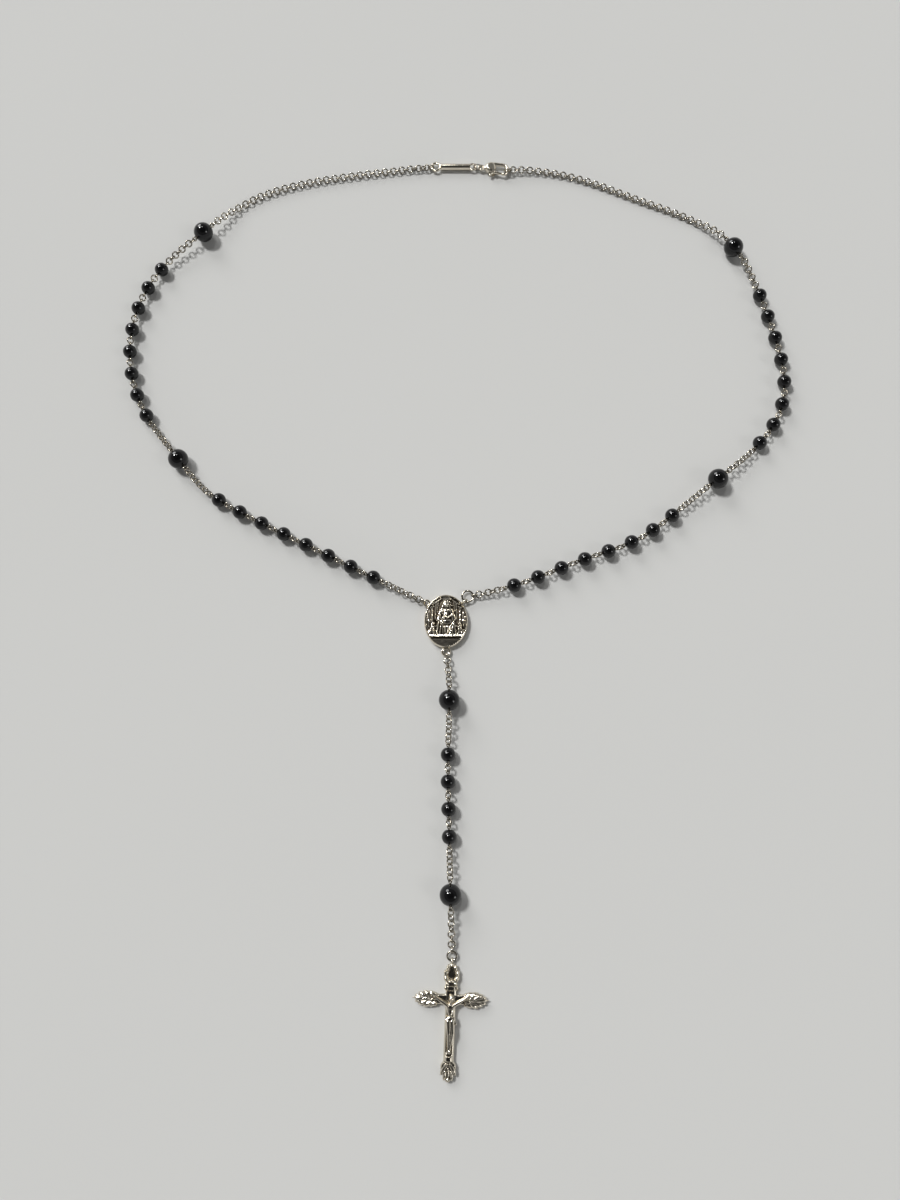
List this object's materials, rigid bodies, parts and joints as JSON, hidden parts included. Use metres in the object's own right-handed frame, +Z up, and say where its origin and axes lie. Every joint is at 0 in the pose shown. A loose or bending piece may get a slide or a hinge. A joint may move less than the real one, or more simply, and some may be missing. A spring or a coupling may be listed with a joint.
{
  "type": "rosary",
  "caption": "Rosary laid out flat: bead decades on fine chain, oval medal, pendant strand with crucifix, tag bar and lobster clasp.",
  "frame": {"origin": "middle of the medal's flat back, on the plane the rosary lies on", "axes": "+Z up from that plane; +Y from the medal towards the clasp, along the longest extent; +X towards the strand that ends in the ring the clasp hooks"},
  "size_m": [0.2068, 0.2768, 0.006],
  "materials": {
    "bead": "black, polished like glass",
    "chain_link": "polished, warm silver",
    "eye_pin": "polished, warm silver",
    "ring": "polished, warm silver",
    "spring_steel": "drawn wire",
    "clasp_metal": "polished, warm silver",
    "tag_bar_metal": "polished, warm silver",
    "medal_metal": "polished relief, darker in the hollows",
    "crucifix_metal": "polished relief, darker in the hollows"
  },
  "bodies": {
    "medal": {"medal": "medal_metal"},
    "left_section_1": {"left_section_1_links": "chain_link", "left_section_1_eye_pins": "eye_pin", "left_section_1_beads": "bead"},
    "left_section_2": {"left_section_2_eye_pins": "eye_pin", "left_section_2_beads": "bead", "left_section_2_links": "chain_link"},
    "left_section_3": {"left_section_3_eye_pins": "eye_pin", "left_section_3_links": "chain_link"},
    "left_large_bead_1": {"left_large_bead_1": "bead"},
    "left_section_4": {"left_section_4_eye_pins": "eye_pin", "left_section_4_beads": "bead", "left_section_4_links": "chain_link"},
    "left_section_5": {"left_section_5_eye_pins": "eye_pin", "left_section_5_beads": "bead", "left_section_5_links": "chain_link"},
    "left_section_6": {"left_section_6_eye_pins": "eye_pin", "left_section_6_links": "chain_link"},
    "left_large_bead_2": {"left_large_bead_2": "bead"},
    "left_section_7": {"left_section_7_links": "chain_link"},
    "tag_bar": {"tag_bar": "tag_bar_metal", "clasp_link": "ring"},
    "clasp": {"clasp_body": "clasp_metal", "clasp_rivet": "clasp_metal", "clasp_spring": "spring_steel"},
    "clasp_lever": {"clasp_lever": "clasp_metal"},
    "right_section_1": {"right_section_1_links": "chain_link", "right_section_1_eye_pins": "eye_pin", "right_section_1_beads": "bead", "right_jump_ring": "ring"},
    "right_section_2": {"right_section_2_eye_pins": "eye_pin", "right_section_2_beads": "bead", "right_section_2_links": "chain_link"},
    "right_section_3": {"right_section_3_eye_pins": "eye_pin", "right_section_3_links": "chain_link"},
    "right_large_bead_1": {"right_large_bead_1": "bead"},
    "right_section_4": {"right_section_4_eye_pins": "eye_pin", "right_section_4_beads": "bead", "right_section_4_links": "chain_link"},
    "right_section_5": {"right_section_5_eye_pins": "eye_pin", "right_section_5_beads": "bead", "right_section_5_links": "chain_link"},
    "right_section_6": {"right_section_6_eye_pins": "eye_pin", "right_section_6_links": "chain_link"},
    "right_large_bead_2": {"right_large_bead_2": "bead"},
    "right_section_7": {"right_section_7_links": "chain_link", "end_ring": "ring"},
    "pendant_section_1": {"pendant_section_1_links": "chain_link", "pendant_section_1_eye_pins": "eye_pin"},
    "pendant_large_bead_1": {"pendant_large_bead_1": "bead"},
    "pendant_section_2": {"pendant_section_2_eye_pins": "eye_pin", "pendant_section_2_beads": "bead", "pendant_section_2_links": "chain_link"},
    "pendant_section_3": {"pendant_section_3_eye_pins": "eye_pin", "pendant_section_3_links": "chain_link", "crucifix_jump_ring": "ring"},
    "pendant_large_bead_2": {"pendant_large_bead_2": "bead"},
    "crucifix": {"cross": "crucifix_metal", "corpus": "crucifix_metal"}
  },
  "joints": [
    {"name": "left_medal_lift", "type": "hinge", "parent": "medal", "child": "left_section_1", "pos_m": [-0.00646, 0.0058, 0.001], "axis": [0.4212, 0.907, 0], "range_deg": [-30, 30]},
    {"name": "left_decade_1_bend", "type": "hinge", "parent": "left_section_1", "child": "left_section_2", "pos_m": [-0.04555, 0.02486, 0.0021], "axis": [0, 0, 1], "range_deg": [-30, 30]},
    {"name": "left_large_1_lift", "type": "hinge", "parent": "left_section_2", "child": "left_section_3", "pos_m": [-0.07835, 0.04639, 0.00299], "axis": [0.7808, 0.6248, 0], "range_deg": [-30, 30]},
    {"name": "left_decade_2_bend", "type": "hinge", "parent": "left_section_3", "child": "left_section_4", "pos_m": [-0.09009, 0.0613, 0.00211], "axis": [0, 0, 1], "range_deg": [-30, 30]},
    {"name": "left_decade_2_lift", "type": "hinge", "parent": "left_section_4", "child": "left_section_5", "pos_m": [-0.09845, 0.08956, 0.0021], "axis": [0.9995, -0.0308, 0], "range_deg": [-30, 30]},
    {"name": "left_large_2_bend", "type": "hinge", "parent": "left_section_5", "child": "left_section_6", "pos_m": [-0.08044, 0.12337, 0.00299], "axis": [0, 0, 1], "range_deg": [-30, 30]},
    {"name": "left_chain_lift", "type": "hinge", "parent": "left_section_6", "child": "left_section_7", "pos_m": [-0.04256, 0.14592, 0.0009], "axis": [0.2013, -0.9795, 0], "range_deg": [-30, 30]},
    {"name": "tag_bar_bend", "type": "hinge", "parent": "left_section_7", "child": "tag_bar", "pos_m": [-0.00405, 0.15114, 0.00118], "axis": [0, 0, 1], "range_deg": [-30, 30]},
    {"name": "clasp_lift", "type": "hinge", "parent": "tag_bar", "child": "clasp", "pos_m": [0.01067, 0.15094, 0.00125], "axis": [-0.1219, -0.9925, 0], "range_deg": [-45, 45]},
    {"name": "left_large_bead_1_spin", "type": "hinge", "parent": "left_section_3", "child": "left_large_bead_1", "pos_m": [-0.08081, 0.04947, 0.003], "axis": [-0.6235, 0.7819, 0], "continuous": true},
    {"name": "left_large_bead_2_spin", "type": "hinge", "parent": "left_section_6", "child": "left_large_bead_2", "pos_m": [-0.07755, 0.12605, 0.003], "axis": [0.7294, 0.6841, 0], "continuous": true},
    {"name": "clasp_lever_press", "type": "hinge", "parent": "clasp", "child": "clasp_lever", "pos_m": [0.01524, 0.14922, 0.00125], "axis": [0, 0, 1], "range_deg": [0, 25], "stiffness_Nm_per_rad": 0.0005, "springref_deg": -8.59, "deforming": ["clasp_spring"]},
    {"name": "right_medal_lift", "type": "hinge", "parent": "medal", "child": "right_section_1", "pos_m": [0.00545, 0.00605, 0.00115], "axis": [0.8387, -0.5446, 0], "range_deg": [-30, 30]},
    {"name": "right_decade_1_bend", "type": "hinge", "parent": "right_section_1", "child": "right_section_2", "pos_m": [0.04523, 0.02, 0.0021], "axis": [0, 0, 1], "range_deg": [-30, 30]},
    {"name": "right_large_1_lift", "type": "hinge", "parent": "right_section_2", "child": "right_section_3", "pos_m": [0.07858, 0.04079, 0.00299], "axis": [0.6132, -0.7899, 0], "range_deg": [-30, 30]},
    {"name": "right_decade_2_bend", "type": "hinge", "parent": "right_section_3", "child": "right_section_4", "pos_m": [0.09326, 0.05279, 0.00211], "axis": [0, 0, 1], "range_deg": [-30, 30]},
    {"name": "right_decade_2_lift", "type": "hinge", "parent": "right_section_4", "child": "right_section_5", "pos_m": [0.10426, 0.07947, 0.0021], "axis": [0.9971, 0.0757, 0], "range_deg": [-30, 30]},
    {"name": "right_large_2_bend", "type": "hinge", "parent": "right_section_5", "child": "right_section_6", "pos_m": [0.09361, 0.11747, 0.00299], "axis": [0, 0, 1], "range_deg": [-30, 30]},
    {"name": "right_chain_lift", "type": "hinge", "parent": "right_section_6", "child": "right_section_7", "pos_m": [0.05679, 0.14147, 0.0009], "axis": [0.3997, 0.9166, 0], "range_deg": [-30, 30]},
    {"name": "right_large_bead_1_spin", "type": "hinge", "parent": "right_section_3", "child": "right_large_bead_1", "pos_m": [0.08169, 0.0432, 0.003], "axis": [0.7905, 0.6125, 0], "continuous": true},
    {"name": "right_large_bead_2_spin", "type": "hinge", "parent": "right_section_6", "child": "right_large_bead_2", "pos_m": [0.09136, 0.1207, 0.003], "axis": [-0.5793, 0.8151, 0], "continuous": true},
    {"name": "pendant_medal_lift", "type": "hinge", "parent": "medal", "child": "pendant_section_1", "pos_m": [0.00015, -0.00999, 0.001], "axis": [-0.9892, -0.1463, 0], "range_deg": [-30, 30]},
    {"name": "pendant_bend", "type": "hinge", "parent": "pendant_section_1", "child": "pendant_section_2", "pos_m": [0.00069, -0.03545, 0.00212], "axis": [0, 0, 1], "range_deg": [-30, 30]},
    {"name": "pendant_lift", "type": "hinge", "parent": "pendant_section_2", "child": "pendant_section_3", "pos_m": [0.0012, -0.07233, 0.00298], "axis": [-0.9998, -0.0217, 0], "range_deg": [-30, 30]},
    {"name": "crucifix_swing", "type": "hinge", "parent": "pendant_section_3", "child": "crucifix", "pos_m": [0.0017, -0.09347, 0.0011], "axis": [-1, 0, 0], "range_deg": [-45, 45]},
    {"name": "pendant_large_bead_1_spin", "type": "hinge", "parent": "pendant_section_1", "child": "pendant_large_bead_1", "pos_m": [0.00095, -0.02318, 0.003], "axis": [0.0015, -1, 0], "continuous": true},
    {"name": "pendant_large_bead_2_spin", "type": "hinge", "parent": "pendant_section_3", "child": "pendant_large_bead_2", "pos_m": [0.00129, -0.07627, 0.003], "axis": [0.0239, -0.9997, 0], "continuous": true}
  ]
}
